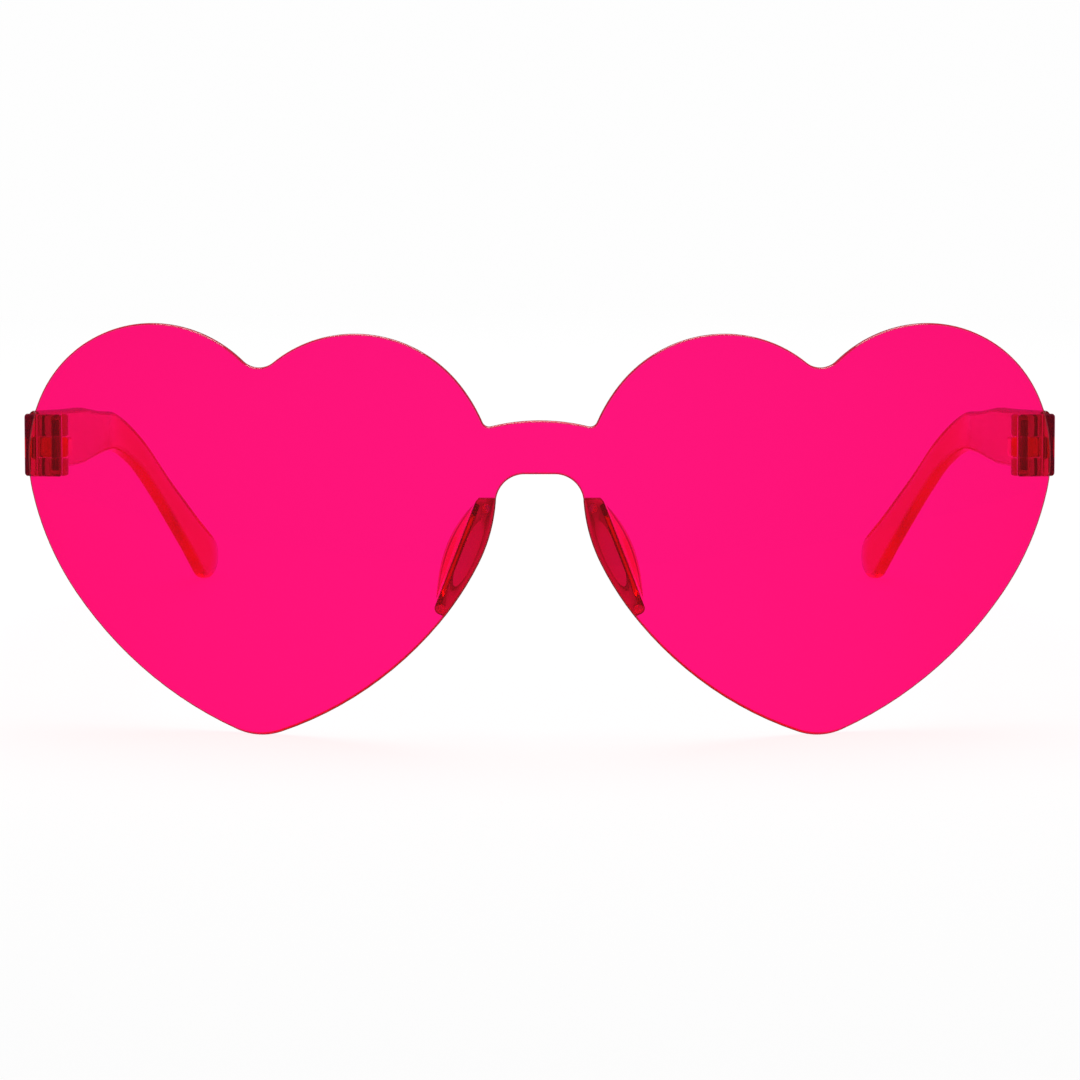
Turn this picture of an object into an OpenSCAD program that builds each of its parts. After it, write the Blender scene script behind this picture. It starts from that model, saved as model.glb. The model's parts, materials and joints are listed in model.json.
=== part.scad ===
// Heart shaped sunglasses: one wrapped shield lens cut as two hearts and a
// bridge, with cemented hinge blocks, pegged nose pads and two folding temples.
// The glasses stand open on a table: heart tips and ear tips touch z = 0.
// x runs across the face (+x is the wearer's left) and y runs from the lens to the ears.

/* [Shield lens] */
// Radius of the front face, a vertical cylinder
lens_r = 130; // [115:1:160]
// Thickness of the shield
lens_t = 2; // [1.6:0.1:2.4]
// Distance of each heart's lowest point from the middle
tip_x = 39.4; // [38.6:0.1:40]
// Radii of the tip, flank, hip, shoulder and crown on the temple side of a heart
outer_radii = [8.7, 55.1, 38.8, 21, 18.8]; // each 2% either way
// Turns of the tip, flank, hip and shoulder arcs on the temple side
outer_angles = [22, 31.4, 23.3, 37.5]; // each 0.5 either way
// Radii of the tip, flank, hip, shoulder and crown on the nose side of a heart
nose_radii = [9.1, 52.8, 44, 23.2, 18.6]; // each 2% either way
// Turns of the tip, flank, hip and shoulder arcs on the nose side
nose_angles = [20.3, 30, 12.9, 64.9]; // each 0.5 either way
// Radius in the bottom of the cleft between the two lobes
cleft_r = 3.2; // [2.5:0.1:3.8]

/* [Bridge] */
// Height of the bridge's upper edge over the heart tips, at the middle
bridge_top = 44.6; // [44:0.1:46]
// Height of the bridge's lower edge over the heart tips
bridge_low = 37.2; // [36:0.1:39]
// Radius of the arched upper edge
bridge_r = 28; // [25:1:38]
// Radius of the two upper corners of the nose arch
arch_r = 4; // [3.5:0.1:4.6]
// Fillet between a heart and the upper edge
fillet_r = 1; // [0.8:0.1:1.6]

/* [Nose pads] */
// Upper peg of a pad, as its distance from the middle and its height
pad_upper = [7.4, 32.4]; // each 0.2 either way
// Lower peg of a pad, in the same way
pad_lower = [13.7, 18.3]; // each 0.2 either way
// Radius of the flange round its upper peg
pad_upper_r = 1.7; // [1.4:0.1:1.9]
// Radius of the flange round its lower peg
pad_lower_r = 0.9; // [0.8:0.1:1.2]
// Thickness of the flange, which lies on the back of the lens
pad_flange_t = 1.2; // [1:0.1:1.5]
// How far the wing reaches behind the flange
wing_depth = 7.5; // [6:0.5:9]
// Thickness of the wing
wing_t = 0.8; // [0.7:0.1:1.1]
// Radius of the wing's outward flare
wing_flare_r = 20; // [16:1:26]
// Diameter of the moulded pegs
peg_d = 1.2; // [1:0.1:1.4]
// Depth of the blind sockets in the lens
peg_depth = 1.2; // [0.8:0.1:1.3]

/* [Hinges] */
// Distance of each hinge axis inside the widest point of the shield
hinge_inset = 3.7; // [3.4:0.1:4]
// Distance of the hinge axes behind the front of the lens, with the temples level
hinge_y = 28.6; // [27.5:0.1:30]
// Height of the middle of the hinge blocks over the heart tips
hinge_z = 41; // [39.5:0.1:42]
// Height of a hinge block and its barrels
block_h = 9; // [8.4:0.1:9.6]
// Width of a hinge block beside the barrels
block_w = 2.6; // [2.2:0.1:2.7]
// Distance of a hinge block's outer face outside its hinge axis
block_reach = 4.6; // [4.5:0.1:4.9]
// Thickness of the foot that is cemented on the back of the lens
foot_t = 1.2; // [1:0.1:1.6]
// Diameter of the barrels
barrel_d = 3.5; // [3:0.1:3.6]
// Height of the temple's middle barrel
mid_h = 2.9; // [2.5:0.1:3.2]
// Middle of the temple's barrel below the middle of the block
mid_drop = 0.3; // [0:0.1:0.5]
// Length of the gusset that carries the temple's barrel
gusset_l = 8.4; // [7.6:0.1:9.2]
// Length over which the gusset is as wide as its barrel
gusset_flat_l = 4.5; // [3.6:0.1:5.4]
// Diameter of the steel hinge pins
pin_d = 1; // [0.9:0.05:1.2]
// Length of the steel hinge pins
pin_l = 7.2; // [6.8:0.1:7.6]
// Depth of a pin's upper end below the top of its barrel
pin_sunk = 0.9; // [0.6:0.1:1]

/* [Clearances] */
// Radial clearance between a pin and the temple's barrel
pin_gap = 0.05; // [0.03:0.01:0.08]
// Gap above and below the temple's barrel
barrel_gap = 0.1; // [0.08:0.01:0.15]
// Gap between a temple's end and its hinge block when open
butt_gap = 0.1; // [0.08:0.01:0.15]

/* [Temples] */
// Straight length of a temple from its hinge to the bend over the ear
arm_length = 85; // [78:1:92]
// Radius of the bend, seen from the side
bend_r = 36.5; // [30:0.5:42]
// Slope of the straight arm, upward to the back
rise_angle = 0.9; // [0.5:0.1:1.3]
// Slope of the hook below the arm's level
drop_angle = 33; // [28:1:38]
// Straight length of the hook to the centre of its round end
hook_l = 29.5; // [25:0.5:33]
// Radius of the round ear tip
ear_r = 3.9; // [3.5:0.1:4.2]
// Thickness of a temple
temple_t = 2.2; // [2:0.1:2.5]
// Inward lean of the straight arm, seen from above
toe_angle = 1.6; // [1.2:0.1:2]
// Length behind the hinge at which the arm turns inward
wrap_start = 83; // [78:1:88]
// Radius of the inward turn
wrap_r = 65; // [55:1:80]
// Slant of the hook toward the head, seen from above
wrap_angle = 18; // [15:1:21]

/* [Fit on the face] */
// Forward lean of the lens over the level of the temples
panto_angle = 3.4; // [2.5:0.1:4.5]

/* [Hidden] */
over = 1;
step_angle = 4;
side_steps = 60;
wrap_steps = 8;
round_fn = 48;
shell_fn = 360;
tint = [0.93, 0.05, 0.38, 0.75];
tint_deep = [0.80, 0.04, 0.26, 0.85];
steel = [0.62, 0.62, 0.64];

// Half heights of a temple as shares of its length, from the hinge to the ear tip
arm_share = [0, 0.25, 0.37, 0.53, 0.64, 0.77, 0.84, 0.91, 0.96, 0.985, 1];
half_share = [1.21, 1.13, 1.08, 0.76, 0.69, 0.5, 0.52, 0.67, 0.79, 0.97, 1];

function polar(c, r, a) = [c[0] + r * cos(a), c[1] + r * sin(a)];
function steps(a0, a1) = max(1, ceil(abs(a1 - a0) / step_angle));
// Points along an arc, without its last point
function arc(c, r, a0, a1) = let (n = steps(a0, a1))
    [for (i = [0:n - 1]) polar(c, r, a0 + (a1 - a0) * i / n)];
function angle_of(v) = atan2(v[1], v[0]);
function flip(v) = [-v[0], v[1]];
function reversed(list) = [for (i = [len(list) - 1:-1:0]) list[i]];
// The point at distance ra from a and rb from b, on the left of the way from a to b
function meet(a, ra, b, rb) = let (
        d = norm(b - a),
        u = (b - a) / d,
        k = (ra * ra - rb * rb + d * d) / (2 * d),
        h = sqrt(ra * ra - k * k)
    ) a + k * u + h * [-u[1], u[0]];

// Tangent arcs that start at the heart's tip and turn upward: start angle and centre of arc k
function chain_angle(angles, k) = k == 0 ? -90 : chain_angle(angles, k - 1) + angles[k - 1];
function chain_centre(radii, angles, k) = k == 0 ? [0, radii[0]]
    : chain_centre(radii, angles, k - 1)
        + (radii[k - 1] - radii[k]) * polar([0, 0], 1, chain_angle(angles, k));
function chain_arc(radii, angles, k, from, to) = arc(chain_centre(radii, angles, k), radii[k], from, to);

crown = len(outer_angles);
outer_crown = [tip_x, 0] + chain_centre(outer_radii, outer_angles, crown);
nose_crown = [tip_x, 0] + flip(chain_centre(nose_radii, nose_angles, crown));
cleft = meet(nose_crown, nose_radii[crown] + cleft_r, outer_crown, outer_radii[crown] + cleft_r);
outer_end = angle_of(cleft - outer_crown);
nose_end = angle_of(flip(cleft - nose_crown));

// The bridge runs into the shoulder arc of each heart, above with a fillet and below with the nose arch
shoulder = [tip_x, 0] + flip(chain_centre(nose_radii, nose_angles, crown - 1));
shoulder_r = nose_radii[crown - 1];
bridge_centre = [0, bridge_top - bridge_r];
fillet = meet(bridge_centre, bridge_r + fillet_r, shoulder, shoulder_r + fillet_r);
fillet_start = angle_of(fillet - bridge_centre);
fillet_end = angle_of(flip(fillet - shoulder));
arch_angle = asin((bridge_low - arch_r - shoulder[1]) / shoulder_r);
arch_centre = [shoulder[0] - shoulder_r * cos(arch_angle) - arch_r, bridge_low - arch_r];

// Half the outline of the shield, from the top of the bridge round one heart to the nose arch
nose_upper = [for (k = [crown - 1, crown]) each chain_arc(nose_radii, nose_angles, k,
    k < crown ? fillet_end : chain_angle(nose_angles, k),
    k < crown ? chain_angle(nose_angles, crown) : nose_end)];
outer_side = [for (k = [crown:-1:0]) each chain_arc(outer_radii, outer_angles, k,
    k < crown ? chain_angle(outer_angles, k + 1) : outer_end, chain_angle(outer_angles, k))];
nose_lower = [for (k = [0:crown - 1]) each chain_arc(nose_radii, nose_angles, k,
    chain_angle(nose_angles, k), k < crown - 1 ? chain_angle(nose_angles, k + 1) : arch_angle)];
half_shield = concat(
    arc(bridge_centre, bridge_r, 90, fillet_start),
    arc(fillet, fillet_r, fillet_start - 180, -fillet_end),
    [for (p = nose_upper) [tip_x, 0] + flip(p)],
    arc(cleft, cleft_r, -nose_end, outer_end - 180),
    [for (p = outer_side) [tip_x, 0] + p],
    [for (p = nose_lower) [tip_x, 0] + flip(p)],
    arc(arch_centre, arch_r, 0, 90),
    [[arch_centre[0], bridge_low]]);
shield = concat(half_shield, [for (i = [len(half_shield) - 1:-1:1]) flip(half_shield[i])]);

hinge_x = max([for (p = half_shield) p[0]]) - hinge_inset;
block_x = hinge_x + block_reach;

// Depth of the lens's front, back and any other face of radius r at distance x from the middle
function depth(r, x) = lens_r - sqrt(r * r - x * x);
back_r = lens_r - lens_t;
pad_angle = 90 + angle_of(pad_lower - pad_upper);

// Side view of a temple: its middle line as [y, z] at length s from the hinge axis
bend_l = bend_r * (rise_angle + drop_angle) * PI / 180;
temple_l = arm_length + bend_l + hook_l;
root = [hinge_y, hinge_z - block_h / 2 + ear_r * half_share[0]];
bend_start = root + arm_length * [cos(rise_angle), sin(rise_angle)];
bend_centre = bend_start + bend_r * [sin(rise_angle), -cos(rise_angle)];
function side_heading(s) = s < arm_length ? rise_angle
    : max(-drop_angle, rise_angle - (s - arm_length) / bend_r * 180 / PI);
function side_middle(s) = s < arm_length
    ? bend_start - (arm_length - s) * [cos(rise_angle), sin(rise_angle)]
    : let (h = side_heading(s))
        bend_centre + bend_r * [-sin(h), cos(h)] + max(0, s - arm_length - bend_l) * [cos(h), sin(h)];
function side_half(s) = ear_r
    * lookup(s / temple_l, [for (i = [0:len(arm_share) - 1]) [arm_share[i], half_share[i]]]);
function side_edge(s, up) = let (h = side_heading(s))
    side_middle(s) + up * side_half(s) * [-sin(h), cos(h)];
side_stations = [for (i = [-1:side_steps]) i * temple_l / side_steps];
ear = side_middle(temple_l);
side_outline = concat(
    [for (s = side_stations) side_edge(s, -1)],
    arc(ear, ear_r, -drop_angle - 90 + step_angle, -drop_angle + 90 - step_angle),
    reversed([for (s = side_stations) side_edge(s, 1)]));

// Plan view of a temple: its outer and inner faces as [x, y]
wrap_y = hinge_y + wrap_start;
function plan_middle(y0, a) = [block_x - temple_t / 2 - wrap_start * tan(toe_angle), wrap_y]
    + wrap_r * [cos(a) - cos(toe_angle), sin(a) - sin(toe_angle)];
function plan_face(a, side) = plan_middle(wrap_y, a) + side * temple_t / 2 * [cos(a), sin(a)];
wrap_stations = [for (i = [0:wrap_steps]) toe_angle + (wrap_angle - toe_angle) * i / wrap_steps];
hook_way = temple_l * [-sin(wrap_angle), cos(wrap_angle)];
plan_start = hinge_y + butt_gap;
plan_outline = concat(
    [[block_x, plan_start]],
    [for (a = wrap_stations) plan_face(a, 1)],
    [plan_face(wrap_angle, 1) + hook_way, plan_face(wrap_angle, -1) + hook_way],
    reversed([for (a = wrap_stations) plan_face(a, -1)]),
    [[block_x - temple_t, plan_start]]);

// Resting pose: the common tangent under a heart tip and an ear tip gives the lean of the arms
heel = depth(back_r, tip_x) * [cos(panto_angle), sin(panto_angle)];
ear_way = ear - heel;
stand_angle = angle_of(ear_way) - asin(ear_r / norm(ear_way));
lift = heel[0] * sin(stand_angle) - heel[1] * cos(stand_angle);
lean_angle = stand_angle - panto_angle;
front_y = min([for (p = half_shield) depth(lens_r, p[0]) * cos(lean_angle) + p[1] * sin(lean_angle)]);
back_y = ear[0] * cos(stand_angle) + ear[1] * sin(stand_angle) + ear_r;

// From the level frame of the temples to the resting pose
module standing() {
    translate([0, -(front_y + back_y) / 2, lift])
        rotate([-stand_angle, 0, 0])
            children();
}

// From the upright frame of the lens to the level frame of the temples
module leaning() {
    rotate([panto_angle, 0, 0])
        children();
}

// A flat outline in x and z, carried back along y
module along_y(from, to) {
    translate([0, to, 0])
        rotate([90, 0, 0])
            linear_extrude(to - from)
                children();
}

// The space inside an upright cylinder that is coaxial with the lens
module inside(r) {
    translate([0, lens_r, -lens_r])
        cylinder(h = 2 * lens_r, r = r, $fn = shell_fn);
}

module pad_pegs(from_depth) {
    for (p = [pad_upper, pad_lower])
        translate([p[0], depth(back_r, p[0]) + pad_flange_t / 2, p[1]])
            rotate([90, 0, 0])
                cylinder(h = from_depth + pad_flange_t / 2, d = peg_d, $fn = round_fn);
}

module front_lens() {
    color(tint)
        standing() leaning() difference() {
            intersection() {
                along_y(-over, depth(back_r, block_x) + over) polygon(shield);
                difference() {
                    inside(lens_r);
                    inside(back_r);
                }
            }
            for (way = [0, 1])
                mirror([way, 0, 0])
                    pad_pegs(peg_depth);
        }
}

// Outline of a pad's flange, whose nose side is flush with the edge of the lens
module pad_flange() {
    length = norm(pad_lower - pad_upper);
    reach = 2 * pad_upper_r;
    intersection() {
        polygon(shield);
        translate(pad_upper) rotate(pad_angle) {
            circle(r = pad_upper_r, $fn = round_fn);
            translate([0, -length])
                circle(r = pad_lower_r, $fn = round_fn);
            translate([-reach, -length - pad_lower_r])
                square([reach, length + pad_lower_r + pad_upper_r]);
            polygon([[0, 0], [pad_upper_r, 0], [pad_lower_r, -length], [0, -length]]);
        }
    }
}

// The wing stands on the ear side of the flange and flares outward to the back
module pad_wing() {
    length = norm(pad_lower - pad_upper);
    ear_side = (pad_upper_r + pad_lower_r) / 2;
    rim_r = (length * length / 4 + wing_depth * wing_depth) / (2 * wing_depth);
    intersection() {
        translate([wing_flare_r + ear_side - wing_t, 0, -length])
            difference() {
                cylinder(h = 2 * length, r = wing_flare_r, $fn = shell_fn);
                translate([0, 0, -over])
                    cylinder(h = 2 * length + 2 * over, r = wing_flare_r - wing_t, $fn = shell_fn);
            }
        translate([-length, wing_depth - rim_r, 0])
            rotate([0, 90, 0])
                cylinder(h = 2 * length, r = rim_r, $fn = shell_fn);
        translate([-length, 0, -length])
            cube([length + wing_flare_r, 2 * length, 2 * length]);
    }
}

module nose_pad(way) {
    flange_back = depth(back_r - pad_flange_t, pad_lower[0]);
    middle = (pad_upper + pad_lower) / 2;
    taper = asin((pad_upper_r - pad_lower_r) / norm(pad_lower - pad_upper));
    color(tint_deep)
        standing() leaning() mirror([way, 0, 0]) {
            intersection() {
                along_y(0, flange_back + over) pad_flange();
                difference() {
                    inside(back_r);
                    inside(back_r - pad_flange_t);
                }
            }
            difference() {
                pad_pegs(peg_depth);
                inside(back_r - pad_flange_t);
            }
            translate([middle[0], flange_back - pad_flange_t / 2, middle[1]])
                rotate([0, taper - pad_angle, 0])
                    pad_wing();
        }
}

block_low = hinge_z - block_h / 2;
mid_low = hinge_z - mid_drop - mid_h / 2;
mid_high = mid_low + mid_h;
pin_high = block_low + block_h - pin_sunk;

// A hinge block with the upper and lower barrel, shaped on the back of the lens
module end_piece(way) {
    barrel_r = barrel_d / 2;
    color(tint_deep)
        standing() mirror([way, 0, 0]) {
            difference() {
                union() {
                    intersection() {
                        translate([hinge_x - barrel_r, 0, block_low])
                            cube([block_x - hinge_x + barrel_r, hinge_y, block_h]);
                        leaning() difference() {
                            inside(back_r);
                            inside(back_r - foot_t);
                        }
                    }
                    intersection() {
                        translate([block_x - block_w, 0, block_low])
                            cube([block_w, hinge_y, block_h]);
                        leaning() inside(back_r);
                    }
                    difference() {
                        union() {
                            translate([hinge_x, hinge_y, block_low])
                                cylinder(h = block_h, d = barrel_d, $fn = round_fn);
                            translate([hinge_x, hinge_y - barrel_r, block_low])
                                cube([block_x - block_w / 2 - hinge_x, barrel_r, block_h]);
                        }
                        translate([hinge_x - barrel_d, hinge_y - barrel_d, mid_low - barrel_gap])
                            cube([
                                block_x - block_w - hinge_x + barrel_d,
                                2 * barrel_d,
                                mid_h + 2 * barrel_gap]);
                    }
                }
                translate([hinge_x, hinge_y, pin_high - pin_l])
                    cylinder(h = pin_l + pin_sunk + over, d = pin_d, $fn = round_fn);
            }
        }
}

module temple(way) {
    barrel_r = barrel_d / 2;
    inner_face = block_x - temple_t;
    color(tint)
        standing() mirror([way, 0, 0]) difference() {
            union() {
                intersection() {
                    linear_extrude(hinge_z + block_h)
                        polygon(plan_outline);
                    rotate([90, 0, 90])
                        linear_extrude(block_x + over)
                            polygon(side_outline);
                }
                translate([hinge_x, hinge_y, mid_low])
                    cylinder(h = mid_h, d = barrel_d, $fn = round_fn);
                translate([0, 0, mid_low])
                    linear_extrude(mid_h)
                        polygon([
                            [hinge_x - barrel_r, hinge_y],
                            [hinge_x, hinge_y + butt_gap],
                            [inner_face + temple_t / 2, hinge_y + butt_gap],
                            [inner_face + temple_t / 2, hinge_y + gusset_l],
                            [inner_face - butt_gap, hinge_y + gusset_l],
                            [hinge_x - barrel_r, hinge_y + gusset_flat_l]]);
            }
            translate([hinge_x, hinge_y, mid_low - over])
                cylinder(h = mid_h + 2 * over, d = pin_d + 2 * pin_gap, $fn = round_fn);
        }
}

module hinge_pin(way) {
    color(steel)
        standing() mirror([way, 0, 0])
            translate([hinge_x, hinge_y, pin_high - pin_l])
                cylinder(h = pin_l, d = pin_d, $fn = round_fn);
}

front_lens();
nose_pad(0);  // left_nose_pad
nose_pad(1);  // right_nose_pad
end_piece(0);  // left_end_piece
end_piece(1);  // right_end_piece
temple(0);  // left_temple
temple(1);  // right_temple
hinge_pin(0);  // left_hinge_pin
hinge_pin(1);  // right_hinge_pin
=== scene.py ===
# %% [markdown]
# # Heart shaped sunglasses
# The whole front of these glasses is one sheet of tinted, see-through plastic, cut as two hearts and a
# bridge. Nose pads, hinge blocks and temples are moulded in the same plastic, and only the two hinge
# pins are steel. Clear pieces are unforgiving: light passes through every surface, so each piece has to
# be one closed skin with smooth faces and rounded edges. The construction model fixes where each piece
# is. This script draws the visible pieces again, on the same sizes but for slightly broader temples,
# with the polish of the real ones.

# %% Load the construction model
import json
from math import asin, atan2, ceil, cos, degrees, log, radians, sin, sqrt, tan

import bmesh
import bpy
from mathutils import Matrix, Vector


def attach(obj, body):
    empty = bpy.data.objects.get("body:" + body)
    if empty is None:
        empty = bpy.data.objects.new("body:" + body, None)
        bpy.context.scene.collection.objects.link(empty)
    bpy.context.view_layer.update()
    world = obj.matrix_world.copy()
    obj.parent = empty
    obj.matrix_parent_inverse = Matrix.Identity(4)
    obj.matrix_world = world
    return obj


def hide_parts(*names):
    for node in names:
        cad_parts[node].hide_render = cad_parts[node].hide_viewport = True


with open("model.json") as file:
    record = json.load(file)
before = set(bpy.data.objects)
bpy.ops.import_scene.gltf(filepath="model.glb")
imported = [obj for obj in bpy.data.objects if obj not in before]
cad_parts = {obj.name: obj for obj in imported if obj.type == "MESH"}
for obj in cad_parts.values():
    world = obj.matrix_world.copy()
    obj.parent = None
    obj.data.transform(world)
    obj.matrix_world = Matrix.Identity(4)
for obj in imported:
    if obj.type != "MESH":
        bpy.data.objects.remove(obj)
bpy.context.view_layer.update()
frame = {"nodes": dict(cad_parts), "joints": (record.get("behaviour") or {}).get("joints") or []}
print("Nodes in the frame:", ", ".join(sorted(frame["nodes"])))

# %% [markdown]
# ## Where things are
# Three spaces are in use. The lens is drawn upright, with its sheet as an arc around a vertical axis.
# The arms are drawn level, and the lens leans forward over them. The glasses then stand on the table on
# heart tips and ear tips, which tips them all. The hinge joint of the frame gives that last turn: its
# axis was upright in the level space, and its point is known there. So two matrices carry every drawing
# in millimetres into the frame in metres, and nothing is fitted by eye.

# %% Spaces
MM = 0.001
HINGE_Y = 28.6
HINGE_Z = 41
LENS_LEAN = 3.4

joint = next(j for j in frame["joints"] if j["name"] == "left_temple_fold")
hinge = Vector(joint["pos_m"]) / MM
hinge_x = hinge.x
arms_down = atan2(joint["axis"][1], joint["axis"][2])
turn_down = Matrix.Rotation(-arms_down, 4, "X")
moved = hinge - turn_down @ Vector((hinge_x, HINGE_Y, HINGE_Z))
LEVEL = Matrix.Scale(MM, 4) @ Matrix.Translation(moved) @ turn_down
UPRIGHT = LEVEL @ Matrix.Rotation(radians(LENS_LEAN), 4, "X")
print(f"Hinge {hinge_x:.2f} mm from the middle, arms {degrees(arms_down):.2f} degrees down")

# %% [markdown]
# ## Camera
# The camera stands in front, a little above, and looks slightly down. How fast the temples shrink
# toward the ears gave the distance, and how far the ear tips sink behind the lens gave the slope.

# %% Camera
CAMERA_AWAY = 640 * MM
CAMERA_DOWN = 7.83
AIM = Vector((0, -82.5, 28.58)) * MM
FOCAL = 153.9
SENSOR = 36
SHIFT_PIXELS = 0.3
PICTURE_PIXELS = 1080

camera_data = bpy.data.cameras.new("camera")
camera_data.lens = FOCAL
camera_data.sensor_width = SENSOR
camera_data.shift_x = SHIFT_PIXELS / PICTURE_PIXELS
camera = bpy.data.objects.new("camera", camera_data)
slope = radians(CAMERA_DOWN)
camera.location = AIM + CAMERA_AWAY * Vector((0, -cos(slope), sin(slope)))
camera.rotation_euler = (radians(90) - slope, 0, 0)
bpy.context.scene.collection.objects.link(camera)
bpy.context.scene.camera = camera
print("Camera at", [round(v, 3) for v in camera.location])

# %% [markdown]
# ## Small tools
# A pen draws outlines: one vertex is spun about a centre and leaves an arc of edges, or is pulled
# straight. A closed outline is filled, thickened, and its edges are rounded. Only then is the flat plate
# cut into strips where it will bend. Strips cut before the rounding would steer the new edges sideways
# and fold them over near the rim, which clear plastic shows as dark lines. A dense grid would bend as
# well, but it would carry thousands of faces that do nothing. The finished drawing becomes an object.

# %% Pen and plate tools
ARC_STEP = 2.5
CLOSE = 0.02
EDGE_ANGLE = 50
EDGE_STEPS = 4


def only(kind, geometry):
    """The vertices, edges or faces among what an operator made."""
    return [g for g in geometry if isinstance(g, kind)]


def draw_arc(bm, vert, centre, axis, turn):
    """Spins a vertex about a centre and returns the last one. A positive turn is right-handed."""
    made = bmesh.ops.spin(
        bm, geom=[vert], cent=centre, axis=axis, angle=radians(turn),
        steps=max(1, ceil(abs(turn) / ARC_STEP)))
    return only(bmesh.types.BMVert, made["geom_last"])[0]


def draw_line(bm, vert, point):
    """Pulls a vertex straight to a point and returns the new one."""
    made = bmesh.ops.extrude_vert_indiv(bm, verts=[vert])
    vert = made["verts"][0]
    vert.co = point
    return vert


def fill(bm):
    """Closes the drawn outline and fills it with one face."""
    bmesh.ops.remove_doubles(bm, verts=bm.verts[:], dist=CLOSE)
    loose = [v for v in bm.verts if len(v.link_edges) == 1]
    if loose:
        bmesh.ops.contextual_create(bm, geom=loose)
    bmesh.ops.edgeloop_fill(bm, edges=bm.edges[:])


def slice_up(bm, normal, places):
    """Cuts the faces into strips at each place along a direction."""
    for place in places:
        bmesh.ops.bisect_plane(
            bm, geom=bm.verts[:] + bm.edges[:] + bm.faces[:], dist=CLOSE,
            plane_co=Vector(normal) * place, plane_no=normal)


def thicken(bm, way):
    """Turns the flat faces into a closed plate."""
    made = bmesh.ops.extrude_face_region(bm, geom=bm.faces[:])
    bmesh.ops.translate(bm, vec=way, verts=only(bmesh.types.BMVert, made["geom"]))
    bmesh.ops.recalc_face_normals(bm, faces=bm.faces[:])


def round_edges(bm, radius, segments=EDGE_STEPS):
    """Rounds every edge where the skin turns by more than EDGE_ANGLE."""
    edges = [e for e in bm.edges if e.is_manifold and e.calc_face_angle(0) > radians(EDGE_ANGLE)]
    bmesh.ops.bevel(
        bm, geom=edges, offset=radius, offset_type="OFFSET", segments=segments, profile=0.5,
        affect="EDGES", clamp_overlap=False, loop_slide=True, material=-1)


def span(low, high, step):
    """Evenly spaced places between two ends, without the ends."""
    count = max(1, round((high - low) / step))
    return [low + (high - low) * i / count for i in range(1, count)]


def make_piece(name, bm, place=Matrix()):
    """Makes an object of a drawing, still in millimetres and in the drawing's own space."""
    bmesh.ops.transform(bm, matrix=place, verts=bm.verts[:])
    bmesh.ops.recalc_face_normals(bm, faces=bm.faces[:])
    if bm.calc_volume(signed=True) < 0:
        bmesh.ops.reverse_faces(bm, faces=bm.faces[:])
    mesh = bpy.data.meshes.new(name)
    bm.to_mesh(mesh)
    bm.free()
    piece = bpy.data.objects.new(name, mesh)
    bpy.context.scene.collection.objects.link(piece)
    return piece


# %% [markdown]
# ## Plastic
# Tinted clear plastic has no colour on its surface. The dye is inside, so a longer way through it is
# deeper in colour: the rims and the temples behind the lens turn crimson by themselves. A coloured skin
# alone would look the same at every depth, so the volume absorbs the light. The dye's strength is worked
# out from what a sheet as thick as the lens lets through. Light that casts the shadow passes straight
# through the skin, or the sheet would throw a black one.
#
# The lens is polished. The moulded pieces are a little duller, so their skins take some light too. They
# also bend light less than the lens does, because at the full index their many inner reflections would
# turn them black, where the real ones stay red.

# %% Dyed plastic
LENS_T = 2
PLASTIC_IOR = 1.585
RIPPLE_DEPTH = 0.1 * MM


def new_finish(name):
    """A material, with its nodes and its links at hand."""
    material = bpy.data.materials.new(name)
    material.use_nodes = True
    return material, material.node_tree.nodes, material.node_tree.links


def tinted_plastic(name, through_sheet, roughness=0, ripple=0, ripple_size=5 * MM, ior=PLASTIC_IOR,
                   skin_colour=(1, 1, 1), clearness=1):
    """Clear dyed plastic. through_sheet says how much red, green and blue is left behind a sheet as
    thick as the lens. skin_colour is what a duller skin lets through on the way in and out."""
    material, nodes, links = new_finish(name)
    nodes.clear()
    output = nodes.new("ShaderNodeOutputMaterial")
    skin = nodes.new("ShaderNodeBsdfPrincipled")
    skin.inputs["Base Color"].default_value = (*skin_colour, 1)
    skin.inputs["Transmission Weight"].default_value = clearness
    skin.inputs["Roughness"].default_value = roughness
    skin.inputs["IOR"].default_value = ior

    place = nodes.new("ShaderNodeTexCoord")
    waves = nodes.new("ShaderNodeTexNoise")
    waves.inputs["Scale"].default_value = 1 / ripple_size
    waves.inputs["Detail"].default_value = 1
    bump = nodes.new("ShaderNodeBump")
    bump.inputs["Strength"].default_value = ripple
    bump.inputs["Distance"].default_value = RIPPLE_DEPTH
    links.new(place.outputs["Object"], waves.inputs["Vector"])
    links.new(waves.outputs["Fac"], bump.inputs["Height"])
    links.new(bump.outputs["Normal"], skin.inputs["Normal"])

    shadow_way = nodes.new("ShaderNodeLightPath")
    clear = nodes.new("ShaderNodeBsdfTransparent")
    mix = nodes.new("ShaderNodeMixShader")
    links.new(shadow_way.outputs["Is Shadow Ray"], mix.inputs["Fac"])
    links.new(skin.outputs["BSDF"], mix.inputs[1])
    links.new(clear.outputs["BSDF"], mix.inputs[2])
    links.new(mix.outputs["Shader"], output.inputs["Surface"])

    absorbed = [-log(share) / (LENS_T * MM) for share in through_sheet]
    dye = nodes.new("ShaderNodeVolumeAbsorption")
    dye.inputs["Density"].default_value = max(absorbed)
    dye.inputs["Color"].default_value = [1 - a / max(absorbed) for a in absorbed] + [1]
    links.new(dye.outputs["Volume"], output.inputs["Volume"])
    return material
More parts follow.
